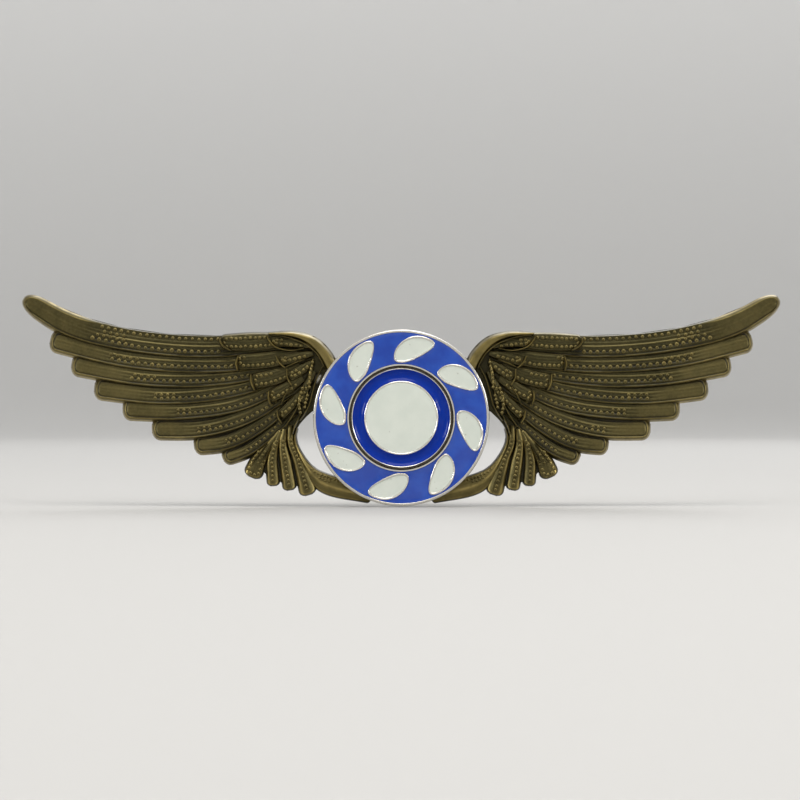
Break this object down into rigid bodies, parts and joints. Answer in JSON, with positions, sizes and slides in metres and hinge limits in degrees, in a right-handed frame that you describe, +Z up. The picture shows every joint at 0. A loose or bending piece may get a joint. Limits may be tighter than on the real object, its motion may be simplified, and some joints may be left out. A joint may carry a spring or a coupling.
{
  "type": "pilot wings pin",
  "caption": "Antique bronze pilot wings pin with spread feathered wings, a round blue and white enamelled badge in the middle, and a hinged pin stem with a turning safety catch.",
  "frame": {"origin": "on the round badge's axis, at the flat back of the backing disc that lies against the cloth", "axes": "+X to the viewer's right along the wings, +Y out of the back towards the wearer, +Z up as worn"},
  "size_m": [0.0802, 0.0075, 0.0223],
  "materials": {
    "antique_bronze": "struck brass, darkened to antique bronze, worn bright on the raised edges",
    "silver_plate": "polished silver plate",
    "blue_enamel": "fired glass enamel, glossy",
    "white_enamel": "fired glass enamel, glossy",
    "plain_brass": "drawn brass, satin, lightly tarnished",
    "plated_steel": "nickel-plated spring wire, drawn lengthwise",
    "solder": "soft solder, rounded where it flowed"
  },
  "bodies": {
    "badge": {"wings_plate": "antique_bronze", "back_plate": "antique_bronze", "roundel_body": "silver_plate", "field_enamel": "blue_enamel", "blade_enamel_1": "white_enamel", "blade_enamel_2": "white_enamel", "blade_enamel_3": "white_enamel", "blade_enamel_4": "white_enamel", "blade_enamel_5": "white_enamel", "blade_enamel_6": "white_enamel", "blade_enamel_7": "white_enamel", "blade_enamel_8": "white_enamel", "button_body": "silver_plate", "ring_enamel": "blue_enamel", "centre_enamel": "white_enamel", "solder_bead": "solder", "hinge_solder": "solder", "hinge_bracket": "plain_brass", "hinge_rivet": "plain_brass", "catch_solder": "solder", "catch_body": "plain_brass"},
    "stem": {"pin_stem": "plated_steel"},
    "barrel": {"catch_barrel": "plain_brass"}
  },
  "joints": [
    {"name": "stem_hinge", "type": "hinge", "parent": "badge", "child": "stem", "pos_m": [-0.017, 0.0027, 0.003], "axis": [0, 0, 1], "range_deg": [0, 100]},
    {"name": "catch_turn", "type": "hinge", "parent": "badge", "child": "barrel", "pos_m": [0.017, 0.0027, 0.003], "axis": [1, 0, 0], "range_deg": [0, 110]}
  ]
}
